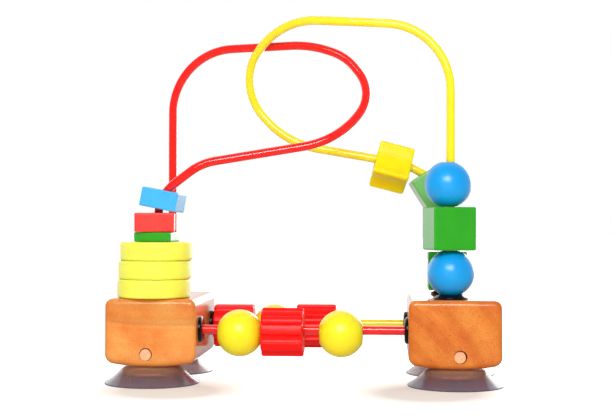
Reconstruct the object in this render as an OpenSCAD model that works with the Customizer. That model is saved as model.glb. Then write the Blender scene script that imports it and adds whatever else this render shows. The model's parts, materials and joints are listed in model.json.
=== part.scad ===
// Bead frame for a highchair tray: two varnished blocks on suction cups, joined by two straight
// coated wires, with a bent wire loop on each block and painted wooden beads that run on the wires.
// Front is -Y, up is +Z, the red loop stands on the left block and the yellow loop on the right one.
// The origin is on the table, midway between the four suction cups.

/* [Blocks] */
// Distance between the centres of the two blocks
block_spacing = 160; // [150:0.5:190]
// Width of a block, left to right
block_w = 48.5; // [46:0.5:56]
// Length of a block, front to back
block_l = 75; // [72:0.5:90]
// Height of a block
block_h = 36; // [32:0.5:44]
// Radius of the long upper edges
block_top_r = 4; // [2:0.5:6]
// Radius of the long lower edges
block_bottom_r = 5; // [3:0.5:9]
// Radius of the slightly bellied underside, across the block
block_belly_r = 120; // [90:5:300]
// Radius of the other edges
block_edge_r = 3; // [1.5:0.5:5]

/* [Suction cups] */
// Diameter across a cup's rim
cup_d = 50.4; // [46:0.2:52]
// Distance between the two cups under one block
cup_pitch = 53.5; // [53:0.5:58]
// How far the cups sit outboard of the blocks' centre lines
cup_offset = 0.5; // [0:0.25:1.5]
// Height of the blocks above the table
cup_h = 9.3; // [8.5:0.1:13]
// Diameter of a cup where it meets the block
cup_top_d = 28; // [22:0.5:32]
// Diameter of a cup halfway up
cup_mid_d = 38; // [34:0.5:42]
// Thickness of a cup's wall at its crown
cup_wall = 3; // [2:0.1:4]
// Thickness of the rim
cup_rim = 0.8; // [0.6:0.1:1.2]
// Width of the flat lip that lies on the table
cup_lip = 1.4; // [1:0.1:3]
// Diameter of the neck that goes up into the block
neck_d = 12; // [11.5:0.1:14]
// Length of the neck inside the block
neck_l = 14; // [12:0.5:16]

/* [Dowels] */
// Diameter of the dowels that lock the cups' necks
dowel_d = 6.2; // [5:0.1:7]
// Length of a dowel
dowel_l = 20; // [18:0.5:24]
// Height of a dowel's centre above the block's bottom face
dowel_z = 6.5; // [5:0.1:8]
// How far a dowel sits outboard of the cup's centre line
dowel_offset = 1.8; // [0:0.1:2]
// How far a dowel's end lies below the block's end face
dowel_recess = 0.5; // [0.2:0.1:1.5]

/* [Wires] */
// Diameter of the coated wires
wire_d = 4.8; // [4:0.1:5.2]
// Distance of the loops' legs from the middle of the toy
wire_x = 78.25; // [75:0.25:81]
// Distance of the front and rear wires from the middle of the toy
wire_y = 22; // [20:0.5:24]
// Height of the straight wires above the blocks' bottom face
side_wire_z = 19; // [18:0.5:21]
// Depth of the straight wires' holes
side_hole_depth = 16; // [12:0.5:20]
// Depth of the loops' holes
leg_depth = 13; // [12:0.5:13.5]

/* [Side bushes] */
// Diameter of the black flange where a straight wire enters a block
bush_d = 14; // [12:0.5:18]
// Thickness of that flange
bush_t = 2; // [1.5:0.1:3]
// Diameter of a bush's sleeve, inside the block
sleeve_d = 8; // [7:0.1:9]
// Length of a bush's sleeve
sleeve_l = 8; // [5:0.5:10]

/* [Seats] */
// Diameter of the black dished seat under a stack of beads
seat_d = 18.6; // [17:0.2:22]
// Height of a seat
seat_h = 2.5; // [2:0.1:4]
// Thickness of a seat's outer edge
seat_edge = 0.8; // [0.5:0.1:1.5]
// Diameter of the rim round a seat's dish
seat_rim_d = 11.8; // [11.6:0.2:14]

/* [Balls] */
// Diameter of a ball
ball_d = 25; // [22:0.5:27]
// Diameter of a ball's hole
ball_hole = 8.9; // [8.4:0.1:9.4]
// Diameter of the hole in the two front blue balls
stack_ball_hole = 8.2; // [8:0.1:9]

/* [Fluted beads] */
// Diameter of the front red fluted bead
gear_d = 25.8; // [22:0.2:28]
// Length of a red fluted bead
gear_l = 22.4; // [18:0.2:24]
// Number of flutes round a red bead
gear_flutes = 8; // [6:1:9]
// Radius of a red bead's flutes
gear_flute_r = 3; // [2:0.1:3.2]
// Depth of a red bead's flutes
gear_flute_depth = 1.7; // [1:0.1:2]
// Diameter of the front red bead's hole
gear_hole = 7.6; // [6.5:0.1:9]
// Diameter of the two rear red fluted beads
rear_gear_d = 24.6; // [22:0.2:28]
// Diameter of the rear red beads' holes
rear_gear_hole = 8.2; // [6.5:0.1:9]
// Diameter of the yellow four-lobed bead
lobed_d = 27.6; // [25:0.2:29]
// Length of the yellow four-lobed bead
lobed_l = 20; // [16:0.2:22]
// Radius of its four wide flutes
lobed_flute_r = 17.8; // [14:0.2:24]
// Depth of its flutes
lobed_flute_depth = 5.6; // [4:0.1:5.8]
// Diameter of its hole
lobed_hole = 12.2; // [11.4:0.1:13]
// Roundness of the fluted beads' end edges
fluted_edge = 1.2; // [0.4:0.1:1.4]

/* [Cubes] */
// Side of the two rear green cubes
cube_a = 21.5; // [20:0.5:22.5]
// Side of the front green cube
front_cube_a = 22.8; // [20:0.1:24]
// Diameter of a cube's hole
cube_hole = 9.4; // [9.2:0.1:11]
// Radius of a cube's edges
cube_edge = 1; // [0.5:0.1:2]

/* [Discs and slabs] */
// Diameter of a yellow disc
disc_d = 39.4; // [34:0.1:42]
// Thickness of a yellow disc
disc_t = 9.8; // [8:0.1:11]
// Diameter of a disc's hole
disc_hole = 10; // [10:0.1:11]
// Roundness of a disc's edges
disc_edge = 1.6; // [0.8:0.1:2.5]
// Side of the green and blue slabs
slab_a = 20; // [18:0.2:22]
// Side of the red slab
red_slab_a = 21; // [18:0.2:22]
// Thickness of the green slab
green_slab_t = 5; // [4:0.1:6]
// Thickness of the red slab
red_slab_t = 10.2; // [8:0.1:11]
// Thickness of the blue slab
blue_slab_t = 10.2; // [8:0.1:11]
// Radius of the slabs' edges
slab_edge = 0.8; // [0.4:0.1:1.5]
// Diameter of the hole in a slab
flat_hole = 9; // [8:0.1:9.4]

/* [Where the beads rest] */
// Gap between the left bush and the first front ball
front_gap_1 = 8; // [2:0.5:10]
// Gap between the front fluted bead and the second front ball
front_gap_2 = 8.2; // [2:0.1:12]
// Gap between the rear ball and the right rear fluted bead
rear_gap = 0.8; // [0.2:0.1:4]
// Turn of the front red fluted bead about its wire, in degrees
front_gear_turn = 34.5; // [0:0.5:44]
// Turn of the left rear red fluted bead about its wire, in degrees
rear_left_gear_turn = 20; // [0:1:44]
// Turn of the right rear red fluted bead about its wire, in degrees
rear_right_gear_turn = 1; // [0:1:44]
// Turn of the front cube about its wire, in degrees
front_cube_turn = 14.5; // [0:0.5:45]
// Turn of the green slab about its wire, in degrees
green_slab_turn = -4; // [-45:1:45]
// Turn of the red slab about its wire, in degrees
red_slab_turn = 8; // [-45:1:45]
// Turn of the blue slab about its wire, in degrees
blue_slab_turn = -5; // [-8:1:8]
// Where the blue slab lies on the red loop's last bend, in degrees up from the leg
blue_slab_place = 24.5; // [22:0.5:28]
// Lean of the blue slab, in degrees
blue_slab_lean = 11; // [9:0.5:20]
// Where the tilted cube lies on the yellow loop's last bend, in degrees up from the leg
tilted_cube_place = 35.8; // [35:0.1:37]
// Lean of the tilted cube, in degrees
tilted_cube_lean = 32.2; // [31:0.1:34]
// Turn of the tilted cube about its wire, in degrees
tilted_cube_turn = 4; // [0:0.5:8]
// Distance of the yellow four-lobed bead from the corner beside it, along the wire
lobed_place = 7.1; // [7:0.1:20]
// Lean of the yellow four-lobed bead, in degrees
lobed_lean = 14.5; // [10:0.5:18]
// Turn of the yellow four-lobed bead about the wire, in degrees
lobed_turn = 70; // [0:1:89]

/* [Fits] */
// Radial gap between a fixed piece and its hole in the wood
fit = 0.05; // [0.02:0.01:0.1]
// Gap between a bead and what it rests on
rest_gap = 0.15; // [0.1:0.05:0.3]
// The same gap in the front stack of blue and green beads
stack_gap = 0.3; // [0.1:0.05:0.4]
// Gap between a hanging bead's hole and the wire above it
hang_gap = 0.2; // [0.1:0.05:0.4]

/* [Loop shapes] */
// Corners of the red loop from its rear leg round to its front leg: inward from the leg, towards
// the rear, height above the block and radius of the bend
red_corners = [
    [0, 22, 138, 36],
    [80, 10, 140, 60],
    [100, 6, 132.5, 30],
    [116, 0, 112, 22.5],
    [97, -14, 84.5, 46],
    [23, -22, 72, 31],
    [0, -22, 54.5, 22]
];
// Corners of the yellow loop from its front leg round to its rear leg, in the same terms, turned
// half round to stand on the right block
yellow_corners = [
    [0, 22, 144.5, 36],
    [59, 18, 148.5, 75],
    [93.5, 2, 152.5, 48],
    [120, -20, 117.5, 28],
    [89.5, -18, 85, 50],
    [24, -22, 73.7, 20],
    [0, -22, 61, 26]
];

/* [Hidden] */
$fn = 64;
over = 1;
// How far a wire's straight runs reach into its bends, and how much thinner the bends are drawn
bend_overlap = 0.1;
bend_thinning = 0.04;
block_x = block_spacing / 2;
cup_x = block_x + cup_offset;
block_top = cup_h + block_h;
inner_x = block_x - block_w / 2;
side_z = cup_h + side_wire_z;
bush_x = inner_x - bush_t;
wire_r = wire_d / 2;
ball_r = ball_d / 2;
seat_top = block_top + seat_h;
// Half of a ball's length along its hole
ball_half = sqrt(pow(ball_r, 2) - pow(ball_hole / 2, 2));
// Height of a ball's centre when it rests in a seat's dish
seated_ball_z = seat_top + sqrt(pow(ball_r + rest_gap, 2) - pow(seat_rim_d / 2, 2));
// Drop of a hanging bead's axis below its wire
ball_drop = ball_hole / 2 - wire_r - hang_gap;
gear_drop = gear_hole / 2 - wire_r - hang_gap;
rear_gear_drop = rear_gear_hole / 2 - wire_r - hang_gap;
// Centres of the beads on the straight wires
ball_front_left_x = -bush_x + front_gap_1 + ball_half;
gear_front_x = ball_front_left_x + ball_half + 2 * rest_gap + gear_l / 2;
ball_front_right_x = gear_front_x + gear_l / 2 + front_gap_2 + ball_half;
gear_rear_left_x = -bush_x + 2 * rest_gap + gear_l / 2;
ball_rear_x = gear_rear_left_x + gear_l / 2 + 2 * rest_gap + ball_half;
gear_rear_right_x = ball_rear_x + ball_half + rear_gap + gear_l / 2;
// Bottom faces of the beads in the left stack
disc_z = [for (i = [0:2]) block_top + rest_gap + i * (disc_t + rest_gap)];
green_slab_z = disc_z[2] + disc_t + rest_gap;
red_slab_z = green_slab_z + green_slab_t + rest_gap;
// Sideways places of the left stack's loose pieces
disc_shift = [-2.3, -1.8, -0.95];
green_slab_shift = -0.8;
red_slab_shift = -1.8;
blue_slab_shift = -0.7;
// Heights and sideways places in the right front stack
cube_front_shift = -0.9;
ball_upper_shift = -1.4;
stack_ball_half = sqrt(pow(ball_r, 2) - pow(stack_ball_hole / 2, 2));
cube_front_z = seated_ball_z + stack_ball_half + stack_gap;
ball_upper_z = cube_front_z + front_cube_a + stack_gap + stack_ball_half;
// Heights and places in the right rear stack, the last measured outward from the bend
ball_rear_shift = 1.5;
tilted_cube_shift = -1.7;
cube_rear_z = seat_top + rest_gap;
ball_rear_z = cube_rear_z + cube_a + rest_gap + ball_half;
// A loop's corners in place, with both ends in the block
function loop_points(corners) = concat(
    [[-wire_x, sign(corners[0][1]) * wire_y, block_top - leg_depth]],
    [for (c = corners)
        [-wire_x + c[0], c[0] == 0 ? sign(c[1]) * wire_y : c[1], block_top + c[2]]],
    [[-wire_x, -sign(corners[0][1]) * wire_y, block_top - leg_depth]]
);
function loop_radii(corners) = [for (c = corners) c[3]];
function unit(v) = v / norm(v);
function turn_at(p, i) = acos(unit(p[i] - p[i - 1]) * unit(p[i + 1] - p[i]));
function tangent_at(p, r, i) =
    i == 0 || i == len(p) - 1 ? 0 : r[i - 1] * tan(turn_at(p, i) / 2);
// Centre of the bend at corner i
function bend_centre(p, r, i) =
    let (back = unit(p[i - 1] - p[i]), ahead = unit(p[i + 1] - p[i]))
    p[i] + unit(back + ahead) * r[i - 1] / cos(turn_at(p, i) / 2);
function side_axis(d) = unit(cross(d, abs(d[1]) < 0.9 ? [0, 1, 0] : [1, 0, 0]));
function frame_at(p, x, y, z) = [
    [x[0], y[0], z[0], p[0]],
    [x[1], y[1], z[1], p[1]],
    [x[2], y[2], z[2], p[2]],
    [0, 0, 0, 1]
];
red_path = loop_points(red_corners);
red_radii = loop_radii(red_corners);
yellow_path = loop_points(yellow_corners);
yellow_radii = loop_radii(yellow_corners);
last_bend = len(red_corners);
blue_slab_centre = bend_centre(red_path, red_radii, last_bend);
tilted_cube_centre = bend_centre(yellow_path, yellow_radii, last_bend);
// The straight run of the yellow loop beside its last two corners, walked inward
lobed_run = unit(yellow_path[last_bend - 2] - yellow_path[last_bend - 1]);
lobed_drop = lobed_hole / 2 - wire_r - 2 * hang_gap;
lobed_centre = yellow_path[last_bend - 1] + lobed_run * lobed_place - [0, 0, lobed_drop];

// Square corner left over outside a quarter circle
module spandrel(r) {
    difference() {
        translate([-over, -over]) square(r + over);
        translate([r, r]) circle(r);
    }
}

// Upright rectangle, centred, with its own radius on each pair of corners
module rounded_rectangle(w, h, lower_r, upper_r) {
    difference() {
        square([w, h], center = true);
        for (s = [0, 1]) mirror([s, 0]) {
            if (lower_r > 0) translate([-w / 2, -h / 2]) spandrel(lower_r);
            translate([-w / 2, h / 2]) mirror([0, 1]) spandrel(upper_r);
        }
    }
}

// Box centred on the origin with every edge rounded
module soft_box(size, r) {
    intersection() {
        linear_extrude(size[2], center = true) rounded_rectangle(size[0], size[1], r, r);
        rotate([90, 0, 0]) linear_extrude(size[1], center = true)
            rounded_rectangle(size[0], size[2], r, r);
        rotate([90, 0, 90]) linear_extrude(size[0], center = true)
            rounded_rectangle(size[1], size[2], r, r);
    }
}

// End view of a block, centred, with round corners that run into the bellied underside
module block_profile(w, h, lower_r, upper_r, belly_r) {
    belly_z = belly_r - h / 2;
    corner_x = lower_r - w / 2;
    corner_z = belly_z - sqrt(pow(belly_r - lower_r, 2) - pow(corner_x, 2));
    away = unit([corner_x, corner_z - belly_z]);
    difference() {
        intersection() {
            rounded_rectangle(w, h, 0, upper_r);
            translate([0, belly_z]) circle(belly_r);
        }
        for (s = [0, 1]) mirror([s, 0]) translate([corner_x, corner_z]) difference() {
            polygon([
                [0, 0], [-2 * lower_r, 0], [-2 * lower_r, -2 * lower_r], 2 * lower_r * away
            ]);
            circle(lower_r);
        }
    }
}

// Wooden block centred on the origin
module soft_block() {
    intersection() {
        linear_extrude(block_h, center = true)
            rounded_rectangle(block_w, block_l, block_edge_r, block_edge_r);
        rotate([90, 0, 0]) linear_extrude(block_l, center = true)
            block_profile(block_w, block_h, block_bottom_r, block_top_r, block_belly_r);
        rotate([90, 0, 90]) linear_extrude(block_w, center = true)
            rounded_rectangle(block_l, block_h, block_edge_r, block_edge_r);
    }
}

// A round rod from one point to another
module rod(from, to, d) {
    way = unit(to - from);
    side = side_axis(way);
    multmatrix(frame_at(from, side, cross(way, side), way)) cylinder(h = norm(to - from), d = d);
}

// A rod bent to a radius at each corner, drawn a hair thinner round the bends than along the runs
module bent_rod(p, r, d) {
    last = len(p) - 1;
    for (i = [0:last - 1]) {
        way = unit(p[i + 1] - p[i]);
        back = i == 0 ? 0 : bend_overlap;
        ahead = i == last - 1 ? 0 : bend_overlap;
        rod(p[i] + way * (tangent_at(p, r, i) - back),
            p[i + 1] - way * (tangent_at(p, r, i + 1) - ahead), d);
    }
    for (i = [1:last - 1]) {
        way = unit(p[i] - p[i - 1]);
        centre = bend_centre(p, r, i);
        out = unit(p[i] - way * tangent_at(p, r, i) - centre);
        multmatrix(frame_at(centre, out, way, cross(out, way)))
            rotate_extrude(angle = turn_at(p, i))
            translate([r[i - 1], 0]) circle(d = d - bend_thinning);
    }
}

// Places a piece on the left or the right, the right being the left turned half round
module on_side(right) {
    rotate([0, 0, right ? 180 : 0]) children();
}

module block(seats) {
    color("peru") difference() {
        translate([-block_x, 0, cup_h + block_h / 2]) soft_block();
        for (s = [-1, 1]) {
            translate([-wire_x, s * wire_y, block_top - leg_depth])
                cylinder(h = leg_depth + over, r = wire_r + fit);
            if (seats) translate([-wire_x, s * wire_y, block_top - sleeve_l])
                cylinder(h = sleeve_l + over, d = sleeve_d + 2 * fit);
            translate([-inner_x, s * wire_y, side_z]) rotate([0, -90, 0]) {
                cylinder(h = side_hole_depth, r = wire_r + fit);
                translate([0, 0, -over]) cylinder(h = sleeve_l + over, d = sleeve_d + 2 * fit);
            }
            translate([-cup_x, s * cup_pitch / 2, cup_h - over])
                cylinder(h = neck_l + over, d = neck_d + 2 * fit);
            translate([-cup_x - dowel_offset, s * (block_l / 2 + over), cup_h + dowel_z])
                rotate([s * 90, 0, 0])
                cylinder(h = over + dowel_recess + dowel_l, d = dowel_d + 2 * fit);
        }
    }
}

// A suction cup in place, under the left block; end is -1 at the front and 1 at the rear
module cup(end) {
    rim_r = cup_d / 2;
    top_r = cup_top_d / 2;
    mid_r = cup_mid_d / 2;
    mid_z = cup_h / 2;
    crown_z = cup_h - fit;
    color("thistle", 0.7) translate([-cup_x, end * cup_pitch / 2, 0]) difference() {
        union() {
            rotate_extrude() polygon([
                [0, crown_z - cup_wall],
                [top_r - cup_wall, crown_z - cup_wall],
                [mid_r - cup_wall / 2, mid_z - cup_wall / 2],
                [rim_r - cup_lip, 0],
                [rim_r, 0],
                [rim_r, cup_rim],
                [mid_r, mid_z],
                [top_r, crown_z],
                [0, crown_z]
            ]);
            translate([0, 0, crown_z - cup_wall / 2])
                cylinder(h = cup_wall / 2 + neck_l - over / 2, d = neck_d);
        }
        translate([-dowel_offset, 0, cup_h + dowel_z]) rotate([90, 0, 0])
            cylinder(h = neck_d + 2 * over, d = dowel_d + 2 * fit, center = true);
    }
}

module dowel(end) {
    color("burlywood")
        translate([-cup_x - dowel_offset, end * (block_l / 2 - dowel_recess), cup_h + dowel_z])
        rotate([end * 90, 0, 0]) cylinder(h = dowel_l, d = dowel_d);
}

module straight_wire(end) {
    reach = inner_x + side_hole_depth;
    translate([-reach, end * wire_y, side_z]) rotate([0, 90, 0]) cylinder(h = 2 * reach, d = wire_d);
}

// Flanged bush round a straight wire's end, on the left block
module bush(end) {
    color("dimgray") translate([-inner_x, end * wire_y, side_z]) rotate([0, 90, 0])
        rotate_extrude() polygon([
            [wire_r + fit, -sleeve_l],
            [sleeve_d / 2, -sleeve_l],
            [sleeve_d / 2, 0],
            [bush_d / 2, 0],
            [bush_d / 2, bush_t / 2],
            [bush_d / 2 - bush_t / 2, bush_t],
            [wire_r + fit, bush_t]
        ]);
}

// Dished seat round a loop's leg, on the right block
module seat(end) {
    color("dimgray") translate([wire_x, end * wire_y, 0]) difference() {
        translate([0, 0, block_top]) rotate_extrude() polygon([
            [wire_r + fit, -sleeve_l],
            [sleeve_d / 2, -sleeve_l],
            [sleeve_d / 2, 0],
            [seat_d / 2, 0],
            [seat_d / 2, seat_edge],
            [seat_rim_d / 2, seat_h],
            [wire_r + fit, seat_h]
        ]);
        translate([0, 0, seated_ball_z]) sphere(ball_r + rest_gap);
    }
}

// A ball centred on the origin with its hole along Z
module ball(hole = ball_hole) {
    difference() {
        sphere(d = ball_d);
        cylinder(h = ball_d + over, d = hole, center = true);
    }
}

// A fluted bead centred on the origin with its hole along Z
module fluted(d, l, n, flute_r, depth, hole) {
    difference() {
        intersection() {
            linear_extrude(l, center = true) difference() {
                circle(d = d);
                for (i = [0:n - 1]) rotate((i + 0.5) * 360 / n)
                    translate([d / 2 - depth + flute_r, 0]) circle(flute_r);
            }
            rotate_extrude() polygon([
                [0, -l / 2],
                [d / 2 - fluted_edge, -l / 2],
                [d / 2, fluted_edge - l / 2],
                [d / 2, l / 2 - fluted_edge],
                [d / 2 - fluted_edge, l / 2],
                [0, l / 2]
            ]);
        }
        cylinder(h = l + over, d = hole, center = true);
    }
}

module gear(d, hole) fluted(d, gear_l, gear_flutes, gear_flute_r, gear_flute_depth, hole);

// A rounded slab centred on the origin with its hole along Z
module slab(a, t, edge, hole) {
    difference() {
        soft_box([a, a, t], edge);
        cylinder(h = t + over, d = hole, center = true);
    }
}

// A disc standing on the XY plane
module disc() {
    difference() {
        rotate_extrude() difference() {
            square([disc_d / 2, disc_t]);
            translate([disc_d / 2, 0]) mirror([1, 0]) spandrel(disc_edge);
            translate([disc_d / 2, disc_t]) rotate(180) spandrel(disc_edge);
        }
        translate([0, 0, -over]) cylinder(h = disc_t + 2 * over, d = disc_hole);
    }
}

// Places a bead on a straight wire, with its hole along X
module on_wire(end, x, drop, turn) {
    translate([x, end * wire_y, side_z - drop]) rotate([0, 90, 0]) rotate([0, 0, turn]) children();
}

// Places a bead on a loop's last bend: place is up from the leg, lean tips the bead inward
module on_bend(centre, radius, place, lean, shift) {
    translate(centre + (radius + shift) * [-cos(place), 0, sin(place)])
        rotate([0, lean, 0]) children();
}

module blue_slab() {
    on_bend(blue_slab_centre, red_radii[last_bend - 1], blue_slab_place, blue_slab_lean, blue_slab_shift)
        rotate([0, 0, blue_slab_turn]) slab(slab_a, blue_slab_t, slab_edge, flat_hole);
}

module tilted_cube() {
    on_side(true)
        on_bend(tilted_cube_centre, yellow_radii[last_bend - 1], tilted_cube_place,
            tilted_cube_lean, tilted_cube_shift)
        rotate([0, 0, tilted_cube_turn]) slab(cube_a, cube_a, cube_edge, cube_hole);
}

module lobed() {
    on_side(true) translate(lobed_centre)
        rotate([0, 90 - lobed_lean, atan2(lobed_run[1], lobed_run[0])])
        rotate([0, 0, lobed_turn])
        fluted(lobed_d, lobed_l, 4, lobed_flute_r, lobed_flute_depth, lobed_hole);
}

module at_leg(right, end, z) {
    translate([right ? wire_x : -wire_x, end * wire_y, z]) children();
}

block(false);  // block_left
on_side(true) block(true);  // block_right
cup(-1);  // cup_front_left
cup(1);  // cup_rear_left
on_side(true) cup(1);  // cup_front_right
on_side(true) cup(-1);  // cup_rear_right
dowel(-1);  // dowel_front_left
dowel(1);  // dowel_rear_left
on_side(true) dowel(1);  // dowel_front_right
on_side(true) dowel(-1);  // dowel_rear_right
color("red") straight_wire(-1);  // wire_front
color("gold") straight_wire(1);  // wire_rear
color("red") bent_rod(red_path, red_radii, wire_d);  // loop_red
color("gold") on_side(true) bent_rod(yellow_path, yellow_radii, wire_d);  // loop_yellow
bush(-1);  // bush_front_left
bush(1);  // bush_rear_left
on_side(true) bush(1);  // bush_front_right
on_side(true) bush(-1);  // bush_rear_right
seat(-1);  // seat_front
seat(1);  // seat_rear
color("yellow") on_wire(-1, ball_front_left_x, ball_drop, 0) ball();  // ball_front_left
color("red") on_wire(-1, gear_front_x, gear_drop, front_gear_turn) gear(gear_d, gear_hole);  // gear_front
color("yellow") on_wire(-1, ball_front_right_x, ball_drop, 0) ball();  // ball_front_right
color("red") on_wire(1, gear_rear_left_x, rear_gear_drop, rear_left_gear_turn)  // gear_rear_left
    gear(rear_gear_d, rear_gear_hole);
color("yellow") on_wire(1, ball_rear_x, ball_drop, 0) ball();  // ball_rear
color("red") on_wire(1, gear_rear_right_x, rear_gear_drop, rear_right_gear_turn)  // gear_rear_right
    gear(rear_gear_d, rear_gear_hole);
color("yellow") at_leg(false, -1, disc_z[0]) translate([disc_shift[0], 0, 0]) disc();  // disc_lower
color("yellow") at_leg(false, -1, disc_z[1]) translate([disc_shift[1], 0, 0]) disc();  // disc_middle
color("yellow") at_leg(false, -1, disc_z[2]) translate([disc_shift[2], 0, 0]) disc();  // disc_upper
color("forestgreen") at_leg(false, -1, green_slab_z + green_slab_t / 2)  // slab_green
    translate([green_slab_shift, 0, 0]) rotate([0, 0, green_slab_turn])
    slab(slab_a, green_slab_t, slab_edge, flat_hole);
color("red") at_leg(false, -1, red_slab_z + red_slab_t / 2)  // slab_red
    translate([red_slab_shift, 0, 0]) rotate([0, 0, red_slab_turn])
    slab(red_slab_a, red_slab_t, slab_edge, flat_hole);
color("dodgerblue") blue_slab();  // slab_blue
color("dodgerblue") at_leg(true, -1, seated_ball_z) ball(stack_ball_hole);  // ball_blue_lower
color("forestgreen") at_leg(true, -1, cube_front_z + front_cube_a / 2)  // cube_front
    translate([cube_front_shift, 0, 0]) rotate([0, 0, front_cube_turn])
    slab(front_cube_a, front_cube_a, cube_edge, cube_hole);
color("dodgerblue") at_leg(true, -1, ball_upper_z) translate([ball_upper_shift, 0, 0])  // ball_blue_upper
    ball(stack_ball_hole);
color("forestgreen") at_leg(true, 1, cube_rear_z + cube_a / 2)  // cube_rear
    slab(cube_a, cube_a, cube_edge, cube_hole);
color("dodgerblue") at_leg(true, 1, ball_rear_z) translate([ball_rear_shift, 0, 0]) ball();  // ball_blue_rear
color("forestgreen") tilted_cube();  // cube_tilted
color("yellow") lobed();  // lobed_bead
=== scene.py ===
import json
import math

import bmesh
import bpy
from mathutils import Matrix, Vector

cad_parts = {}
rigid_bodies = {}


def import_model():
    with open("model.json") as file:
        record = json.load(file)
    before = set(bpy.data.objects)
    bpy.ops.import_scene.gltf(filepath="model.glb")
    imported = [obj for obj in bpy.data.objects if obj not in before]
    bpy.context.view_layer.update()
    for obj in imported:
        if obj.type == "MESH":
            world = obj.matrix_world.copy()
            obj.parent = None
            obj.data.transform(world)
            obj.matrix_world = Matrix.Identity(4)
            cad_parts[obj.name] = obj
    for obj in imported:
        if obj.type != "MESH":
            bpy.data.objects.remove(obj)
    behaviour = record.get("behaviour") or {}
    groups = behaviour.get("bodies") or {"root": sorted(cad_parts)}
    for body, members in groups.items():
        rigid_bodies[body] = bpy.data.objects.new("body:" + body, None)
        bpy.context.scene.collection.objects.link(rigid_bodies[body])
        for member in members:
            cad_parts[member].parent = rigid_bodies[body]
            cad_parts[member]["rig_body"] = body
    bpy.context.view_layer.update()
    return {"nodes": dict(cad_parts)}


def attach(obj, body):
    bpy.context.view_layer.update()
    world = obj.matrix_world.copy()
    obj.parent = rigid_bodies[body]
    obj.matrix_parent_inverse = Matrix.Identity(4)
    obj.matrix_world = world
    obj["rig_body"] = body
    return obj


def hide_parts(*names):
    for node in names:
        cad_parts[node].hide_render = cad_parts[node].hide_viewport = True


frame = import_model()
print("frame loaded:", len(frame["nodes"]), "solids")

mm = 0.001  # pieces are modelled in millimetres and scaled once when they are finished
halfTurn = Matrix.Rotation(math.pi, 4, "Z")  # the right half is the left half turned half round
upright = Matrix.Identity(4)
crisp = math.radians(35)  # edges that turn more than this stay crisp
seam = 0.0005  # points closer than this many millimetres are merged


# Camera: set before anything else

camera = {
    "place": (44.893, -675.198, 86.059),  # mm
    "yaw": -0.06655,  # radians, all three
    "pitch": 0.010345,
    "roll": 0.0016307,
    "lens": 72.1,
}


def addCamera(values):
    yaw, pitch, roll = values["yaw"], values["pitch"], values["roll"]
    ahead = Vector((math.sin(yaw) * math.cos(pitch), math.cos(yaw) * math.cos(pitch), math.sin(pitch)))
    right = Vector((math.cos(yaw), -math.sin(yaw), 0))
    up = right.cross(ahead)
    sideways = right * math.cos(roll) + up * math.sin(roll)
    upwards = up * math.cos(roll) - right * math.sin(roll)
    turn = Matrix((sideways, upwards, -ahead)).transposed().to_4x4()
    bpy.ops.object.camera_add()
    eye = bpy.context.object
    eye.name = "productCamera"
    eye.data.sensor_width = 36
    eye.data.lens = values["lens"]
    eye.data.clip_start = 0.01
    eye.matrix_world = Matrix.Translation(Vector(values["place"]) * mm) @ turn
    bpy.context.scene.camera = eye


addCamera(camera)
print("camera placed")


# Modelling helpers

def deselectAll():
    for thing in list(bpy.context.selected_objects):
        thing.select_set(False)


def pickOnly(piece):
    deselectAll()
    piece.select_set(True)
    bpy.context.view_layer.objects.active = piece


def moved(x, y, z):
    return Matrix.Translation((x, y, z))


def turned(x=0, y=0, z=0):
    # degrees, round X first and round Z last
    return (Matrix.Rotation(math.radians(z), 4, "Z") @ Matrix.Rotation(math.radians(y), 4, "Y")
            @ Matrix.Rotation(math.radians(x), 4, "X"))


def arcPoints(x, y, radius, start, end, steps):
    # points along an arc from one angle to another, ends included
    angles = [start + (end - start) * k / steps for k in range(steps + 1)]
    return [(x + radius * math.cos(angle), y + radius * math.sin(angle)) for angle in angles]


def spunPoints(points, angle):
    return [(x * math.cos(angle) - y * math.sin(angle), x * math.sin(angle) + y * math.cos(angle))
            for x, y in points]


def curvedPoints(start, corner, end, count):
    # points along a soft corner, ends included
    points = []
    for k in range(count + 1):
        t = k / count
        points.append(tuple((1 - t) ** 2 * a + 2 * t * (1 - t) * b + t ** 2 * c
                            for a, b, c in zip(start, corner, end)))
    return points


def startCircle(count):
    deselectAll()
    bpy.ops.mesh.primitive_circle_add(vertices=count, radius=1)
    bpy.ops.object.mode_set(mode="EDIT")
    piece = bpy.context.object
    return piece, bmesh.from_edit_mesh(piece.data)


def closeMesh():
    # doubled points are merged, and every face is turned outwards
    bpy.ops.mesh.select_all(action="SELECT")
    bpy.ops.mesh.remove_doubles(threshold=seam)
    bpy.ops.mesh.normals_make_consistent(inside=False)
    bpy.ops.object.mode_set(mode="OBJECT")


def extrudeRings(rings, sealed):
    # a circle is extruded ring by ring, and each new ring is moved onto its own outline
    piece, mesh = startCircle(len(rings[0]))
    order = mesh.verts.layers.int.new("order")
    for index, vert in enumerate(mesh.verts):
        vert[order] = index
        vert.co = rings[0][index]
    bmesh.update_edit_mesh(piece.data)
    for ring in rings[1:]:
        bpy.ops.mesh.extrude_edges_move()
        mesh = bmesh.from_edit_mesh(piece.data)
        order = mesh.verts.layers.int["order"]
        for vert in mesh.verts:
            if vert.select:
                vert.co = ring[vert[order]]
        bmesh.update_edit_mesh(piece.data)
    if sealed:
        bpy.ops.mesh.edge_face_add()
        first = {tuple(round(c, 4) for c in place) for place in rings[0]}
        bpy.ops.mesh.select_all(action="DESELECT")
        mesh = bmesh.from_edit_mesh(piece.data)
        for vert in mesh.verts:
            vert.select = tuple(round(c, 4) for c in vert.co) in first
        mesh.select_flush(True)
        bmesh.update_edit_mesh(piece.data)
        bpy.ops.mesh.edge_face_add()
    closeMesh()
    piece.data.attributes.remove(piece.data.attributes["order"])
    return piece


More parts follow.
